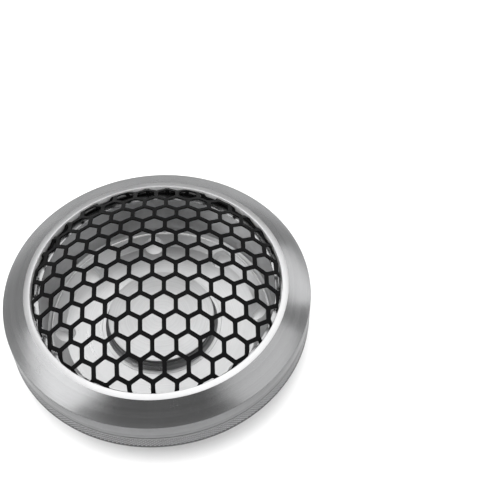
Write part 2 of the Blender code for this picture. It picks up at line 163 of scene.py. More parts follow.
# Grey of the surroundings at the horizon and overhead, then at heights between them
WORLD_ENDS = (0.80, 0.13)
WORLD_BETWEEN = ((0.10, 0.52), (0.50, 0.42), (0.80, 0.20))

# Camera
CAMERA_PLACE = (0.0217, -0.1250, 0.1999)
CAMERA_PITCH = math.radians(90 - 52.85)
CAMERA_LENS = 67.19


for obj in list(bpy.data.objects):
    bpy.data.objects.remove(obj)

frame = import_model()


def radii(node):
    """The smallest and largest distance of a CAD node from the Z axis."""
    distances = [vertex.co.xy.length for vertex in frame["nodes"][node].data.vertices]
    return min(distances), max(distances)


def heights(node):
    low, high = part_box(node)
    return low.z, high.z


# Materials
class Finish:
    """A Principled material, with short ways to add the nodes that vary it."""

    def __init__(self, name, colour, roughness, metallic):
        self.material = bpy.data.materials.new(name)
        self.material.use_nodes = True
        self.tree = self.material.node_tree
        self.shader = self.tree.nodes["Principled BSDF"]
        self.shader.inputs["Base Color"].default_value = (*colour, 1.0)
        self.shader.inputs["Roughness"].default_value = roughness
        self.shader.inputs["Metallic"].default_value = metallic
        self.colour = colour
        self.roughness = roughness

    def node(self, kind, **settings):
        made = self.tree.nodes.new(kind)
        for key, value in settings.items():
            setattr(made, key, value)
        return made

    def link(self, output, target):
        self.tree.links.new(output, target)

    def place(self):
        """Where a point lies on the piece, in metres."""
        return self.node("ShaderNodeTexCoord").outputs["Object"]

    def ring_place(self):
        """The point's distance from the axis and its height, which are the same all round a cut."""
        apart = self.node("ShaderNodeSeparateXYZ")
        self.link(self.place(), apart.inputs[0])
        flat = self.node("ShaderNodeCombineXYZ")
        self.link(apart.outputs["X"], flat.inputs["X"])
        self.link(apart.outputs["Y"], flat.inputs["Y"])
        length = self.node("ShaderNodeVectorMath", operation="LENGTH")
        self.link(flat.outputs[0], length.inputs[0])
        joined = self.node("ShaderNodeCombineXYZ")
        self.link(length.outputs["Value"], joined.inputs["X"])
        self.link(apart.outputs["Z"], joined.inputs["Y"])
        return joined.outputs[0]

    def noise(self, place, scale, detail=2.0, rough=0.5):
        made = self.node("ShaderNodeTexNoise")
        made.inputs["Scale"].default_value = scale
        made.inputs["Detail"].default_value = detail
        made.inputs["Roughness"].default_value = rough
        self.link(place, made.inputs["Vector"])
        return made.outputs["Fac"]

    def ranged(self, value, low, high, start=0.3, end=0.7):
        """A value from 0 to 1 stretched to run from low to high."""
        made = self.node("ShaderNodeMapRange")
        made.inputs["From Min"].default_value = start
        made.inputs["From Max"].default_value = end
        made.inputs["To Min"].default_value = low
        made.inputs["To Max"].default_value = high
        self.link(value, made.inputs["Value"])
        return made.outputs["Result"]

    def total(self, first, second):
        made = self.node("ShaderNodeMath", operation="ADD")
        self.link(first, made.inputs[0])
        self.link(second, made.inputs[1])
        return made.outputs[0]

    def scaled(self, value, factor):
        made = self.node("ShaderNodeMath", operation="MULTIPLY")
        made.inputs[1].default_value = factor
        self.link(value, made.inputs[0])
        return made.outputs[0]

    def vary_colour(self, value, dark, light):
        """The base colour runs from dark to light times its own value."""
        ramp = self.node("ShaderNodeValToRGB")
        ramp.color_ramp.elements[0].color = (*[dark * part for part in self.colour], 1.0)
        ramp.color_ramp.elements[1].color = (*[min(light * part, 1.0) for part in self.colour], 1.0)
        self.link(value, ramp.inputs["Fac"])
        self.link(ramp.outputs["Color"], self.shader.inputs["Base Color"])

    def vary_roughness(self, value):
        self.link(value, self.shader.inputs["Roughness"])

    def bump(self, value, depth, strength=1.0):
        made = self.node("ShaderNodeBump")
        made.inputs["Strength"].default_value = strength
        made.inputs["Distance"].default_value = depth
        self.link(value, made.inputs["Height"])
        self.link(made.outputs["Normal"], self.shader.inputs["Normal"])


def turned_metal(
    name, colour, roughness, anisotropy, line_scale=7000.0, line_depth=0.0008 * MM, edge_tint=1.0
):
    """Metal off a lathe: fine concentric tool lines, broader bands, and faint marks of handling. The edge
    tint is how much of the light that grazes it is reflected."""
    finish = Finish(name, colour, roughness, 1.0)
    rings = finish.ring_place()
    lines = finish.noise(rings, line_scale, 3.0, 0.6)
    bands = finish.noise(rings, 900.0, 2.0)
    smears = finish.noise(finish.place(), 75.0, 4.0, 0.6)
    specks = finish.noise(finish.place(), 2600.0, 2.0, 0.7)
    shade = finish.total(finish.ranged(bands, 0.0, 0.35), finish.ranged(lines, 0.0, 0.65))
    finish.vary_colour(shade, 0.90, 1.08)
    rough = finish.total(
        finish.ranged(bands, roughness - 0.05, roughness + 0.03),
        finish.ranged(smears, -0.03, 0.05, 0.35, 0.75),
    )
    rough = finish.total(rough, finish.ranged(specks, -0.005, 0.012))
    finish.vary_roughness(rough)
    finish.bump(lines, line_depth)
    finish.shader.inputs["Anisotropic"].default_value = anisotropy
    finish.shader.inputs["Anisotropic Rotation"].default_value = 0.25
    finish.shader.inputs["Specular Tint"].default_value = (edge_tint, edge_tint, edge_tint, 1.0)
    tangent = finish.node("ShaderNodeTangent", direction_type="RADIAL", axis="Z")
    finish.link(tangent.outputs[0], finish.shader.inputs["Tangent"])
    return finish.material


def plain_metal(name, colour, roughness, grain=3000.0, depth=0.002 * MM):
    """Plated, drawn or sintered metal, with a fine grain and duller patches."""
    finish = Finish(name, colour, roughness, 1.0)
    fine = finish.noise(finish.place(), grain, 3.0, 0.6)
    patches = finish.noise(finish.place(), 350.0, 3.0)
    finish.vary_colour(finish.ranged(patches, 0.0, 1.0), 0.86, 1.08)
    rough = finish.total(
        finish.ranged(fine, roughness - 0.03, roughness + 0.04), finish.ranged(patches, -0.03, 0.06)
    )
    finish.vary_roughness(rough)
    finish.bump(fine, depth)
    return finish.material


def knurled_metal(name, colour, roughness):
    """Rolled diamonds. Their colour is painted lighter on the tops as a highlight and darker in the grooves
    as shade, and the grooves are rougher.
    """
    finish = Finish(name, colour, roughness, 1.0)
    apart = finish.node("ShaderNodeSeparateXYZ")
    finish.link(finish.place(), apart.inputs[0])
    angle = finish.node("ShaderNodeMath", operation="ARCTAN2")
    finish.link(apart.outputs["Y"], angle.inputs[0])
    finish.link(apart.outputs["X"], angle.inputs[1])
    along = finish.scaled(angle.outputs[0], KNURL_COLUMNS / math.tau)
    up = finish.scaled(apart.outputs["Z"], 1 / KNURL_HEIGHT)
    down = finish.scaled(apart.outputs["Z"], -1 / KNURL_HEIGHT)
    crest = finish.node("ShaderNodeMath", operation="MINIMUM")
    for i, slant in enumerate((up, down)):
        wave = finish.node("ShaderNodeMath", operation="PINGPONG")
        wave.inputs[1].default_value = 0.5
        finish.link(finish.total(along, slant), wave.inputs[0])
        finish.link(wave.outputs[0], crest.inputs[i])
    patches = finish.noise(finish.place(), 500.0, 3.0)
    fine = finish.noise(finish.place(), 4200.0, 3.0, 0.6)
    # Painted highlight and shade: the colour runs from dark in the grooves to light on the crests
    top = finish.ranged(crest.outputs[0], 0.0, 0.85, 0.02, 0.34)
    finish.vary_colour(finish.total(top, finish.ranged(patches, 0.0, 0.15)), 0.45, 1.15)
    finish.vary_roughness(
        finish.total(
            finish.ranged(crest.outputs[0], roughness + 0.25, roughness, 0.02, 0.3),
            finish.ranged(fine, -0.03, 0.04),
        )
    )
    finish.bump(fine, 0.002 * MM)
    return finish.material


def coating(name, colour, roughness, grain, depth, gloss=0.5, index=1.45):
    """Paint, rubber, felt, board or plastic: a grain of its own, and patches a little lighter or duller."""
    finish = Finish(name, colour, roughness, 0.0)
    fine = finish.noise(finish.place(), grain, 3.0, 0.6)
    patches = finish.noise(finish.place(), grain / 12, 3.0)
    shade = finish.total(finish.ranged(fine, 0.0, 0.5), finish.ranged(patches, 0.0, 0.5))
    finish.vary_colour(shade, 0.7, 1.35)
    finish.vary_roughness(
        finish.total(
            finish.ranged(fine, roughness - 0.05, roughness + 0.05), finish.ranged(patches, -0.04, 0.06)
        )
    )
    finish.bump(fine, depth)
    finish.shader.inputs["Specular IOR Level"].default_value = gloss
    finish.shader.inputs["IOR"].default_value = index
    return finish.material


turned_aluminium = turned_metal(
    "turned_aluminium_lines", (0.37, 0.372, 0.376), 0.24, 0.45, edge_tint=0.38
)
lip_aluminium = turned_metal("lip_aluminium_lines", (0.60, 0.60, 0.605), 0.36, 0.0)
# Painted light: the cup's floor, the bores and the inner walls get lighter copies of the aluminium than the
# outside
cup_aluminium = turned_metal("cup_inside_lines", (0.68, 0.682, 0.686), 0.32, 0.3, 4000.0, 0.0002 * MM)
bored_aluminium = turned_metal("bored_aluminium_lines", (0.64, 0.643, 0.648), 0.40, 0.3, 5000.0)
# Painted shade: the upright outer walls of the front ring, the spacer and the lock ring get a darker copy
# of the aluminium. Its fine grain is a texture.
band_aluminium = plain_metal("upright_wall_painted_shade", (0.19, 0.192, 0.195), 0.42, 2200.0, 0.012 * MM)
# Painted shade: a near-black copy of the aluminium for the foot of the lock ring
painted_shade_aluminium = plain_metal("ring_foot_painted_shade", (0.09, 0.09, 0.092), 0.45)
# Painted light: a pale, non-metal coat that stands in for light on the inner wall of the front ring's lip,
# and for a highlight on the bead at the top of the cup's inner cone
painted_light_coat = coating("pale_painted_light", (0.62, 0.62, 0.62), 0.35, 3000.0, 0.001 * MM)
frame_aluminium = turned_metal("driver_frame_lines", (0.34, 0.342, 0.346), 0.30, 0.3)
spun_aluminium = turned_metal("spun_aluminium_lines", (0.48, 0.483, 0.488), 0.30, 0.6, 5200.0)
# Painted light: the diaphragm gets a lighter copy of the aluminium
dull_spun_aluminium = turned_metal("dull_spun_aluminium", (0.68, 0.683, 0.688), 0.38, 0.3, 5200.0)
# Painted shade: the knurl's metal is a darker copy of the aluminium, as on the upright walls
knurled_aluminium = knurled_metal("knurled_aluminium_cuts", (0.27, 0.272, 0.276), 0.32)
black_satin = coating("black_satin_coat", (0.0035, 0.0035, 0.0037), 0.5, 4200.0, 0.003 * MM, 0.35, 1.18)
zinc_steel = plain_metal("zinc_plated_steel", (0.55, 0.55, 0.54), 0.3)
nickel = plain_metal("nickel_plating", (0.60, 0.57, 0.52), 0.22, 2200.0)
drawn_copper = plain_metal("enamelled_copper", (0.72, 0.31, 0.16), 0.3, 5000.0)
tinned_brass = plain_metal("pressed_brass", (0.72, 0.55, 0.26), 0.27, 2600.0)
foil = plain_metal("former_foil", (0.62, 0.62, 0.60), 0.38, 4000.0)
grey_roll = coating("grey_treated_roll", (0.09, 0.09, 0.092), 0.55, 3600.0, 0.008 * MM)
soft_rubber = coating("matt_rubber", (0.02, 0.02, 0.021), 0.62, 3000.0, 0.01 * MM)
grey_felt = coating("wool_felt", (0.20, 0.195, 0.185), 0.95, 5200.0, 0.06 * MM)
resin_board = coating("resin_board", (0.10, 0.045, 0.02), 0.45, 2400.0, 0.006 * MM)
red_plastic = coating("red_sleeve_plastic", (0.45, 0.015, 0.012), 0.42, 2600.0, 0.004 * MM)
black_plastic = coating("black_sleeve_plastic", (0.018, 0.018, 0.019), 0.42, 2600.0, 0.004 * MM)


# Turned pieces
def rounded(corners):
    """The points of a closed outline whose corners are (radius, height, rounding)."""
    points = []
    for i, (radius, height, rounding) in enumerate(corners):
        corner = Vector((radius, height))
        if rounding <= 0:
            points.append(corner)
            continue
        back = (Vector(corners[i - 1][:2]) - corner).normalized()
        ahead = (Vector(corners[(i + 1) % len(corners)][:2]) - corner).normalized()
        half = back.angle(ahead) / 2
        centre = corner + (back + ahead).normalized() * rounding / math.sin(half)
        reach = rounding / math.tan(half)
        start = (corner + back * reach - centre).normalized()
        end = (corner + ahead * reach - centre).normalized()
        for step in range(ARC_STEPS + 1):
            points.append(centre + start.slerp(end, step / ARC_STEPS) * rounding)
    return points


def wall(radius, start, end, step):
    """Points up or down a straight wall, close enough together to carry a relief."""
    count = max(2, round(abs(end - start) / step))
    return [(radius, start + (end - start) * i / count, 0.0) for i in range(count + 1)]


def finish_mesh(name, bm, material):
    bmesh.ops.recalc_face_normals(bm, faces=bm.faces)
    mesh = bpy.data.meshes.new(name)
    bm.to_mesh(mesh)
    bm.free()
    mesh.shade_smooth()
    mesh.set_sharp_from_angle(angle=SHARP_ANGLE)
    mesh.materials.append(material)
    obj = bpy.data.objects.new(name, mesh)
    bpy.context.scene.collection.objects.link(obj)
    return obj


def add_materials(piece, *materials):
    """Adds materials after the piece's first one, and gives their indexes."""
    start = len(piece.data.materials)
    for material in materials:
        piece.data.materials.append(material)
    return range(start, start + len(materials))


def turned(name, corners, material, segments=ROUND_SEGMENTS, relief=None):
    """A closed outline turned round Z. A relief gives how far each point is cut in, by its angle, radius
    and height."""
    outline = rounded(corners)
    bm = bmesh.new()
    columns = []
    for i in range(segments):
        angle = math.tau * i / segments
        column = []
        for radius, height in outline:
            distance = radius - relief(angle, radius, height) if relief else radius
            column.append(bm.verts.new((distance * math.cos(angle), distance * math.sin(angle), height)))
        columns.append(column)
    for i, column in enumerate(columns):
        beside = columns[(i + 1) % segments]
        for j, point in enumerate(outline):
            k = (j + 1) % len(outline)
            if point.x > 0 or outline[k].x > 0:
                bm.faces.new((column[j], beside[j], beside[k], column[k]))
    bmesh.ops.remove_doubles(bm, verts=bm.verts, dist=MM / 10000)
    return finish_mesh(name, bm, material)


def fit(piece, body, slot, *nodes):
    """The piece stands for its CAD nodes and moves with their body."""
    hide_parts(*nodes)
    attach(piece, body)
    return piece


def smooth_step(value):
    value = min(max(value, 0.0), 1.0)
    return value * value * (3 - 2 * value)


def triangle_wave(value):
    """0 at whole numbers and 1 halfway between them."""
    return 1 - abs(2 * (value % 1.0) - 1)


def thread(wall_radius, low, high, depth):
    """The relief of a screw thread on a wall, running out at both its ends."""

    def relief(angle, radius, height):
        if abs(radius - wall_radius) > MM / 1000:
            return 0.0
        inside = min(height - low, high - height)
        turns = height / THREAD_PITCH - angle / math.tau
        return depth * smooth_step(inside / THREAD_PITCH) * triangle_wave(turns)

    return relief


def make_front_ring():
    window, outer = radii("front_ring")
    bottom, top = heights("front_ring")
    bottom -= SEAT_CLOSING
    bore = radii("lock_ring")[0]
    shoulder = top - LIP_THICKNESS
    thread_end = shoulder - 2 * THREAD_PITCH
    corners = [
        (window, top, LIP_ROUNDING),
        (window + LIP_WIDTH, top - LIP_DROP, LIP_ROUNDING),
        (outer, bottom + BAND_HEIGHT, CREASE_ROUNDING),
        (outer, bottom, 0.06 * MM),
        (bore + 0.3 * MM, bottom, 0.05 * MM),
        *wall(bore, bottom + 0.3 * MM, thread_end, THREAD_STEP),
        (bore, shoulder, 0.0),
        (window, shoulder, 0.05 * MM),
    ]
    relief = thread(bore, bottom, thread_end + THREAD_PITCH, -THREAD_DEPTH)
    ring = turned("front_ring_turned", corners, turned_aluminium, relief=relief)
    band, lip, bored, inner_wall = add_materials(
        ring, band_aluminium, lip_aluminium, bored_aluminium, painted_light_coat
    )
    for face in ring.data.polygons:
        distance, height = face.center.xy.length, face.center.z
        # The band gets the darker copy of the aluminium, which is painted shade
        if distance > outer - 0.2 * MM and height < bottom + BAND_HEIGHT:
            face.material_index = band
        # Painted light: the inner wall of the lip gets the pale coat
        elif distance < window + LIP_ROUNDING / 2 and height < top - LIP_ROUNDING / 2:
            face.material_index = inner_wall
        elif height > shoulder and distance < window + LIP_WIDTH:
            face.material_index = lip
        # Painted light: the front ring's bore gets the lighter copy of the aluminium
        elif height < thread_end + MM and distance < bore + 0.2 * MM:
            face.material_index = bored
    return fit(ring, "front_ring", "turned_aluminium", "front_ring")


def make_spacer():
    inner, outer = radii("flange_spacer")
    outer += SEAT_CLOSING / 2
    bottom, top = heights("flange_spacer")
    bottom -= SEAT_CLOSING
    top += SEAT_CLOSING
    rounding = 0.05 * MM
    corners = [
        (inner, top, rounding),
        (outer, top, rounding),
        (outer, bottom, rounding),
        (inner, bottom, rounding),
    ]
    # The spacer's darker copy of the aluminium is painted shade
    ring = turned("spacer_ring_turned", corners, band_aluminium)
    return fit(ring, "spacer", "turned_aluminium", "flange_spacer")


def make_lock_ring():
    bore, outer = radii("lock_ring")
    bottom, top = heights("lock_ring")
    top += SEAT_CLOSING
    wall_bottom = bottom + LOCK_RING_REAR_RISE
    low = wall_bottom + LOCK_RING_EDGE + KNURL_MARGIN
    high = top - LOCK_RING_EDGE - KNURL_MARGIN

    def relief(angle, radius, height):
        if radius < outer - MM / 100 or not low <= height <= high:
            return 0.0
        along = KNURL_COLUMNS * angle / math.tau
        up = height / KNURL_HEIGHT
        groove = min(triangle_wave(along + up), triangle_wave(along - up)) / KNURL_GROOVE
        ends = smooth_step(min(height - low, high - height) / (KNURL_HEIGHT / 3))
        return KNURL_DEPTH * ends * (1 - min(groove, 1.0))

    corners = [
        (bore, top, 0.1 * MM),
        (outer, top, LOCK_RING_EDGE * 0.3),
        *wall(outer, high, low, KNURL_HEIGHT / KNURL_SAMPLES),
        (outer, wall_bottom, LOCK_RING_EDGE),
        (bore + 0.3 * MM, bottom, 0.05 * MM),
        (bore, bottom + 0.3 * MM, 0.05 * MM),
    ]
    segments = KNURL_COLUMNS * KNURL_SAMPLES
    # The lock ring's plain faces get the darker copy of the aluminium, which is painted shade
    ring = turned("lock_ring_knurled", corners, band_aluminium, segments, relief)
    knurled, shade_foot = add_materials(ring, knurled_aluminium, painted_shade_aluminium)
    for face in ring.data.polygons:
        if face.center.xy.length <= outer - 2 * KNURL_DEPTH:
            continue
        # Painted shade along the foot of the lock ring, where the shade beneath it falls
        if face.center.z <= low + PAINTED_SHADE_HEIGHT:
            face.material_index = shade_foot
        elif face.center.z < high:
            face.material_index = knurled
    return fit(ring, "lock_ring", "knurled_aluminium", "lock_ring")


def vent_cutter(index, rear_radius, flank_slope):
    """One vent leans in from the middle of the flank and comes out where the floor meets the wall."""
    start = 2 * VENT_RADIUS
    bottom = VENT_INSET * flank_slope - start * math.cos(VENT_TILT)
    distance = rear_radius + VENT_INSET + start * math.sin(VENT_TILT)
    length = start + FLOOR_TOP + VENT_RADIUS
    turn = Matrix.Rotation(VENT_PHASE + index * math.tau / VENT_COUNT, 4, "Z")
    lean = Matrix.Rotation(-VENT_TILT, 4, "Y")
    place = turn @ Matrix.Translation((distance, 0, bottom)) @ lean @ Matrix.Translation((0, 0, length / 2))
    bm = bmesh.new()
    bmesh.ops.create_cone(
        bm,
        cap_ends=True,
        segments=VENT_SEGMENTS,
        radius1=VENT_RADIUS,
        radius2=VENT_RADIUS,
        depth=length,
        matrix=place,
    )
    mesh = bpy.data.meshes.new("vent_cutter")
    bm.to_mesh(mesh)
    bm.free()
    mesh.materials.append(bored_aluminium)
    cutter = bpy.data.objects.new("vent_cutter", mesh)
    bpy.context.scene.collection.objects.link(cutter)
    return cutter


def cut_vents(cup, rear_radius, flank_slope):
    """The vents are cut for good, so no cutter is left in the scene."""
    cutters = [vent_cutter(i, rear_radius, flank_slope) for i in range(VENT_COUNT)]
    for cutter in cutters:
        vent = cup.modifiers.new("Vent", "BOOLEAN")
        vent.operation = "DIFFERENCE"
        vent.solver = "EXACT"
        vent.object = cutter
    graph = bpy.context.evaluated_depsgraph_get()
    mesh = bpy.data.meshes.new_from_object(cup.evaluated_get(graph))
    cup.modifiers.clear()
    cup.data = mesh
    for cutter in cutters:
        bpy.data.objects.remove(cutter)
    mesh.shade_smooth()
    mesh.set_sharp_from_angle(angle=SHARP_ANGLE)


def make_cup():
    barrel = radii("rear_cup")[1]
    top = heights("rear_cup")[1]
    cap_bore = radii("rear_cap")[1] + 0.25 * MM
    seat = heights("cap_seal_ring")[1] + 0.1 * MM
    cavity = radii("driver_frame")[1] + 0.3 * MM
    hole = radii("surround")[1] + 0.4 * MM
    floor_bottom = heights("driver_frame")[0] + 1.1 * MM
    bore = barrel - BARREL_WALL
    flank_top = barrel - FLANK_TOP_WIDTH
    rear_radius = cap_bore + REAR_RIM_WIDTH
    cone_top = bore - INNER_STEP_WIDTH
    collar = hole + COLLAR_WIDTH
    rim_top = FLANK_HEIGHT + RIM_HEIGHT
    bead_top = INNER_STEP_HEIGHT - 0.35 * MM
    bead_foot = bead_top - BEAD_WIDTH
    ridge = RIM_HEIGHT / 3
    ridge_width = FLANK_TOP_WIDTH / 3
    corners = [
        (bore, top, 0.15 * MM),
        (barrel - 0.25 * MM, top, 0.05 * MM),
        *reversed(wall(barrel, rim_top + 0.1 * MM, top - 0.25 * MM, THREAD_STEP)),
    ]
    # The thread's first turns stand out at the rim as ridges, each a little wider than the last.
    for i in (2, 1, 0):
        width = flank_top + ridge_width * (i + 1)
        bottom = FLANK_HEIGHT + ridge * i
        corners += [
            (width - 0.28 * MM, bottom + ridge - 0.12 * MM, 0.0),
            (width, bottom + ridge * 0.55, 0.06 * MM),
            (width - 0.06 * MM, bottom + 0.1 * MM, 0.05 * MM),
            (width - 0.34 * MM, bottom, 0.0),
        ]
    corners += [
        (flank_top - 0.1 * MM, FLANK_HEIGHT - 0.15 * MM, 0.06 * MM),
        (rear_radius, 0.0, 0.25 * MM),
        (cap_bore, 0.0, 0.08 * MM),
        (cap_bore, seat, 0.0),
        (cavity, seat, 0.0),
        (cavity, floor_bottom, 0.0),
        (hole, floor_bottom, 0.0),
        (hole, FLOOR_TOP, 0.0),
        (collar, FLOOR_TOP, 0.0),
        (collar + HAIRLINE / 2, FLOOR_TOP - HAIRLINE, 0.0),
        (collar + HAIRLINE, FLOOR_TOP, 0.0),
        (cone_top - INNER_CONE_WIDTH, FLOOR_TOP, 0.4 * MM),
        (cone_top - BEAD_WIDTH, bead_foot, 0.0),
        (cone_top - BEAD_WIDTH, bead_top, BEAD_WIDTH * 0.45),
        (cone_top, bead_top, BEAD_WIDTH * 0.45),
        (cone_top, bead_foot, 0.0),
        (bore, INNER_STEP_HEIGHT - 0.2 * MM, 0.0),
    ]
    relief = thread(barrel, rim_top, top, THREAD_DEPTH)
    cup = turned("cup_turned", corners, turned_aluminium, relief=relief)
    bored, bright, inside = add_materials(cup, bored_aluminium, painted_light_coat, cup_aluminium)
    for face in cup.data.polygons:
        distance, height = face.center.xy.length, face.center.z
        # Painted light: the cup's floor and inner wall get the lighter copies of the aluminium
        if distance < bore + MM / 100 and height > floor_bottom:
            face.material_index = inside if height < FLOOR_TOP + MM / 10 else bored
        # Painted highlight: the bead gets the pale coat
        off_bead = abs(distance - cone_top + BEAD_WIDTH / 2)
        if off_bead < 0.6 * BEAD_WIDTH and abs(height - bead_top) < BEAD_WIDTH:
            face.material_index = bright
    cut_vents(cup, rear_radius, FLANK_HEIGHT / (flank_top - rear_radius))
    return fit(cup, "housing", "turned_aluminium", "rear_cup")


def make_cap():
    radius = radii("rear_cap")[1]
    bottom, top = heights("rear_cap")
    corners = [
        (0.0, top, 0.0),
        (radius, top, 0.0),
        (radius, bottom, 0.22 * MM),
        (0.55 * MM, bottom, 0.0),
        (0.0, bottom + 0.2 * MM, 0.0),
    ]
    cap = turned("rear_cap_spun", corners, spun_aluminium)
    return fit(cap, "housing", "turned_aluminium", "rear_cap")


# Driver
def make_driver_frame():
    bore, flange = radii("driver_frame")
    bottom, top = heights("driver_frame")
    wall_radius = radii("surround")[1] + 0.1 * MM
    flange_top = bottom + 0.8 * MM
    foot = FLOOR_TOP + 0.06 * MM
    corners = [
        (bore, top, 0.1 * MM),
        (wall_radius, top, 0.08 * MM),
        (wall_radius, foot + FOOT_HEIGHT, FOOT_HEIGHT * 0.9),
        (wall_radius + FOOT_WIDTH, foot + 0.12 * MM, 0.0),
        (wall_radius + FOOT_WIDTH, foot, 0.0),
        (wall_radius, foot, 0.0),
        (wall_radius, flange_top, 0.1 * MM),
        (flange, flange_top, 0.1 * MM),
        (flange, bottom, 0.1 * MM),
        (bore, bottom, 0.1 * MM),
    ]
    piece = turned("driver_frame_turned", corners, frame_aluminium, SMALL_SEGMENTS)
    return fit(piece, "housing", "turned_aluminium", "driver_frame")


def make_surround():
    """A soft roll that fills the gap from the frame to the diaphragm."""
    inner, outer = radii("surround")
    bottom = heights("driver_frame")[1] + 0.02 * MM
    top = heights("diaphragm")[0] - 0.02 * MM
    rounding = (outer - inner) * 0.3
    corners = [
        (inner, top, rounding),
        (outer, top, rounding),
        (outer, bottom, 0.05 * MM),
        (inner, bottom, 0.05 * MM),
    ]
    roll = turned("surround_roll", corners, grey_roll, SMALL_SEGMENTS)
    fit(roll, "housing", "rubber", "surround")
    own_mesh(roll)
    return roll


def make_diaphragm():
    radius = radii("diaphragm")[1]
    bottom, top = heights("diaphragm")
    thickness = top - bottom
    corners = [
        (0.0, top - DIMPLE_DEPTH, 0.0),
        (DIMPLE_RADIUS * 0.6, top - DIMPLE_DEPTH, 0.0),
        (DIMPLE_RADIUS, top, 0.05 * MM),
        (radius, top, thickness / 2.5),
        (radius, bottom, thickness / 2.5),
        (0.0, bottom, 0.0),
    ]
    piece = turned("diaphragm_spun", corners, dull_spun_aluminium, SMALL_SEGMENTS)
    return fit(piece, "diaphragm", "turned_aluminium", "diaphragm")


# Grille
class Sheet:
    """The shape that the flat mesh is pressed into: a dome, a rounded brim and a short upright skirt.
    Pressing stretches the cells a little towards the brim."""

    def __init__(self):
        self.radius = radii("grille_mesh")[1]
        self.bottom, self.top = heights("grille_mesh")
        rise = self.top - heights("front_ring")[1]
        self.dome = (self.radius**2 + rise**2) / (2 * rise)
        reach = (self.radius - BRIM_ROUNDING) / (self.dome - BRIM_ROUNDING)
        self.brim_angle = math.asin(reach)
        self.dome_edge = self.dome * self.brim_angle
        self.brim_edge = self.dome_edge + BRIM_ROUNDING * (math.pi / 2 - self.brim_angle)
        dome_centre = self.top - self.dome
        self.brim_height = dome_centre + (self.dome - BRIM_ROUNDING) * math.cos(self.brim_angle)
        # Cells are made out to here. make_grille trims them at the bottom of the skirt.
        self.cells_end = self.brim_edge + self.brim_height - self.bottom

    def pressed(self, point):
        """Wraps a flat point round the shape by its distance along the sheet."""
        distance = point.length
        if distance < MM / 1000:
            return Vector((0, 0, self.top))
        outwards = point / distance
        distance *= 1 + SHEET_STRETCH * (distance / self.dome_edge) ** 2
        if distance <= self.dome_edge:
            angle = distance / self.dome
            radius = self.dome * math.sin(angle)
            height = self.top - self.dome * (1 - math.cos(angle))
        elif distance <= self.brim_edge:
            angle = self.brim_angle + (distance - self.dome_edge) / BRIM_ROUNDING
            radius = self.radius - BRIM_ROUNDING * (1 - math.sin(angle))
            height = self.brim_height + BRIM_ROUNDING * math.cos(angle)
        else:
            radius = self.radius
            height = self.brim_height - (distance - self.brim_edge)
        return outwards * radius + Vector((0, 0, height))


def cell_rings(centre, turn):
    """The points round one hexagonal cell, along the middles of its strands and along its rounded hole."""
    outer_side = HEX_PITCH / math.sqrt(3)
    inner_side = (HEX_PITCH - STRAND_WIDTH) / math.sqrt(3)
    pull = HOLE_ROUNDING * (1 / math.sin(math.pi / 3) - 1)
    near = HOLE_ROUNDING / math.tan(math.pi / 3) / inner_side
    shares = (0.0, near / 2, near, 0.5, 1 - near, 1 - near / 2)
    pulls = (pull, pull * 0.3, 0.0, 0.0, 0.0, pull * 0.3)
    outer, inner = [], []
    for corner in range(6):
        here = Matrix.Rotation(corner * math.pi / 3, 3, "Z") @ Vector((0, 1, 0))
        after = Matrix.Rotation((corner + 1) * math.pi / 3, 3, "Z") @ Vector((0, 1, 0))
        for share, inwards in zip(shares, pulls):
            direction = here.lerp(after, share)
            outer.append(centre + turn @ (direction * outer_side))
            inner.append(centre + turn @ (direction * inner_side - direction.normalized() * inwards))
    return outer, inner


def make_grille():
    sheet = Sheet()
    bm = bmesh.new()
    turn = Matrix.Rotation(GRID_TURN, 3, "Z")
    row_height = HEX_PITCH * math.sqrt(3) / 2
    reach = int(sheet.cells_end / row_height) + 2
    for row in range(-reach, reach + 1):
        for column in range(-reach, reach + 1):
            x = (column + (row % 2) / 2) * HEX_PITCH + GRID_SHIFT[0]
            centre = turn @ Vector((x, row * row_height + GRID_SHIFT[1], 0))
            if centre.length > sheet.cells_end + HEX_PITCH:
                continue
            outer, inner = cell_rings(centre, turn)
            outer = [bm.verts.new(sheet.pressed(point)) for point in outer]
            inner = [bm.verts.new(sheet.pressed(point)) for point in inner]
            for i in range(len(outer)):
                j = (i + 1) % len(outer)
                bm.faces.new((outer[i], outer[j], inner[j], inner[i]))
    bmesh.ops.remove_doubles(bm, verts=bm.verts, dist=STRAND_WIDTH / 100)
    bmesh.ops.bisect_plane(
        bm,
        geom=[*bm.verts, *bm.edges, *bm.faces],
        plane_co=(0, 0, sheet.bottom),
        plane_no=(0, 0, -1),
        clear_outer=True,
    )
    grille = finish_mesh("grille_honeycomb", bm, black_satin)
    if sum(face.normal.z for face in grille.data.polygons) < 0:
        grille.data.flip_normals()
    solid = grille.modifiers.new("Sheet", "SOLIDIFY")
    solid.thickness = SHEET_THICKNESS
    solid.offset = -1
    edge = grille.modifiers.new("Edge", "BEVEL")
    edge.width = SHEET_EDGE
    edge.segments = 2
    edge.limit_method = "ANGLE"
    edge.angle_limit = math.radians(50)
    edge.use_clamp_overlap = True
    edge.harden_normals = True
    return fit(grille, "grille", "black_mesh", "grille_mesh")


def make_seat_ring(name, node, body, slot, material):
    inner, outer = radii(node)
    bottom, top = heights(node)
    rounding = (top - bottom) / 4
    corners = [
        (inner, top, rounding),
        (outer, top, rounding),
        (outer, bottom, rounding),
        (inner, bottom, rounding),
    ]
    ring = turned(name, corners, material)
    return fit(ring, body, slot, node)


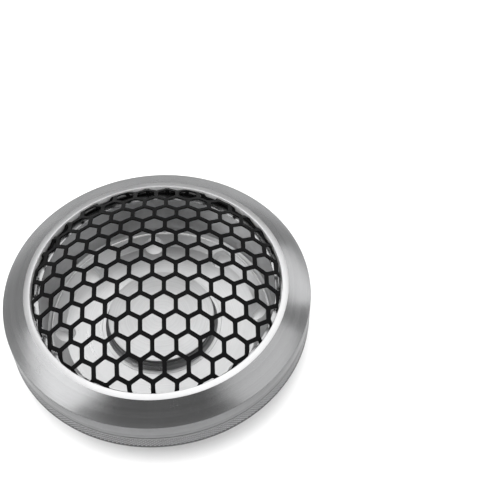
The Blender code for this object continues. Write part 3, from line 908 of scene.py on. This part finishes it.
# What stays hidden keeps its CAD shape
HIDDEN_FINISHES = {
    "cap_seal_ring": soft_rubber,
    "frame_screw_1": zinc_steel,
    "frame_screw_2": zinc_steel,
    "frame_screw_3": zinc_steel,
    "yoke": zinc_steel,
    "magnet": nickel,
    "top_plate": zinc_steel,
    "damping_felt": grey_felt,
    "terminal_board": resin_board,
    "terminal_lug_positive": tinned_brass,
    "terminal_lug_negative": tinned_brass,
    "lead_wire_positive": red_plastic,
    "lead_wire_negative": black_plastic,
    "voice_coil_former": foil,
    "voice_coil_winding": drawn_copper,
}


def dress_hidden_nodes():
    for node, material in HIDDEN_FINISHES.items():
        obj = frame["nodes"][node]
        obj.data.materials.clear()
        obj.data.materials.append(material)


# Studio
def make_floor():
    """A pale sheet with a hole under the rear rim. It shows its upper side only, so that the tweeter's
    underside can be looked at."""
    bm = bmesh.new()
    hole = radii("rear_cap")[1] + REAR_RIM_WIDTH / 2
    rings = []
    for radius in (hole, FLOOR_RADIUS):
        circle = bmesh.ops.create_circle(bm, segments=SMALL_SEGMENTS, radius=radius)
        rings.append(circle["verts"])
    for i in range(SMALL_SEGMENTS):
        j = (i + 1) % SMALL_SEGMENTS
        bm.faces.new((rings[0][j], rings[0][i], rings[1][i], rings[1][j]))
    mesh = bpy.data.meshes.new("studio_floor")
    bm.to_mesh(mesh)
    bm.free()
    floor = bpy.data.objects.new("studio_floor", mesh)
    floor.location.z = -FLOOR_DROP
    bpy.context.scene.collection.objects.link(floor)
    finish = Finish("pale_floor", (0.94, 0.94, 0.94), 0.7, 0.0)
    finish.vary_colour(finish.ranged(finish.noise(finish.place(), 30.0, 3.0), 0.0, 1.0), 0.985, 1.0)
    clear = finish.node("ShaderNodeBsdfTransparent")
    side = finish.node("ShaderNodeNewGeometry")
    mix = finish.node("ShaderNodeMixShader")
    finish.link(side.outputs["Backfacing"], mix.inputs["Fac"])
    finish.link(finish.shader.outputs[0], mix.inputs[1])
    finish.link(clear.outputs[0], mix.inputs[2])
    finish.link(mix.outputs[0], finish.tree.nodes["Material Output"].inputs["Surface"])
    mesh.materials.append(finish.material)


def area_light(name, place, size, power):
    lamp = bpy.data.lights.new(name, "AREA")
    lamp.shape = "RECTANGLE"
    lamp.size, lamp.size_y = size
    lamp.energy = power
    light = bpy.data.objects.new(name, lamp)
    light.location = place
    light.visible_camera = False
    light.rotation_euler = (Vector(place) - Vector(LIGHT_AIM)).to_track_quat("Z", "Y").to_euler()
    bpy.context.scene.collection.objects.link(light)


def make_world():
    """Pale walls and a darker ceiling."""
    world = bpy.data.worlds.new("studio")
    world.use_nodes = True
    bpy.context.scene.world = world
    tree = world.node_tree
    place = tree.nodes.new("ShaderNodeTexCoord")
    apart = tree.nodes.new("ShaderNodeSeparateXYZ")
    ramp = tree.nodes.new("ShaderNodeValToRGB")
    tree.links.new(place.outputs["Generated"], apart.inputs[0])
    tree.links.new(apart.outputs["Z"], ramp.inputs["Fac"])
    tree.links.new(ramp.outputs["Color"], tree.nodes["Background"].inputs["Color"])
    for element, grey in zip(ramp.color_ramp.elements, WORLD_ENDS):
        element.color = (grey, grey, grey, 1)
    for height, grey in WORLD_BETWEEN:
        ramp.color_ramp.elements.new(height).color = (grey, grey, grey, 1)
    tree.nodes["Background"].inputs["Strength"].default_value = 1.0


def make_studio():
    make_floor()
    make_world()
    for name, (place, size, power) in LIGHTS.items():
        area_light(name, place, size, power)
    sky = bpy.data.lights.new("floor_fill", "SUN")
    sky.energy = FILL_STRENGTH
    sky.angle = FILL_ANGLE
    fill = bpy.data.objects.new("floor_fill", sky)
    fill.rotation_euler = (FILL_TILT, 0, 0)
    fill.visible_glossy = False
    bpy.context.scene.collection.objects.link(fill)
    lens = bpy.data.cameras.new("camera")
    lens.lens = CAMERA_LENS
    lens.clip_start = 0.01
    camera = bpy.data.objects.new("camera", lens)
    camera.location = CAMERA_PLACE
    camera.rotation_euler = (CAMERA_PITCH, 0, 0)
    bpy.context.scene.collection.objects.link(camera)
    bpy.context.scene.camera = camera
    bpy.context.scene.view_settings.view_transform = "Standard"


make_front_ring()
make_spacer()
make_lock_ring()
make_cup()
make_cap()
make_driver_frame()
make_surround()
make_diaphragm()
make_grille()
make_seat_ring("clamp_ring_turned", "grille_clamp_ring", "grille", "plated_steel", zinc_steel)
make_seat_ring("gasket_ring", "grille_gasket", "grille", "rubber", soft_rubber)
dress_hidden_nodes()
make_studio()
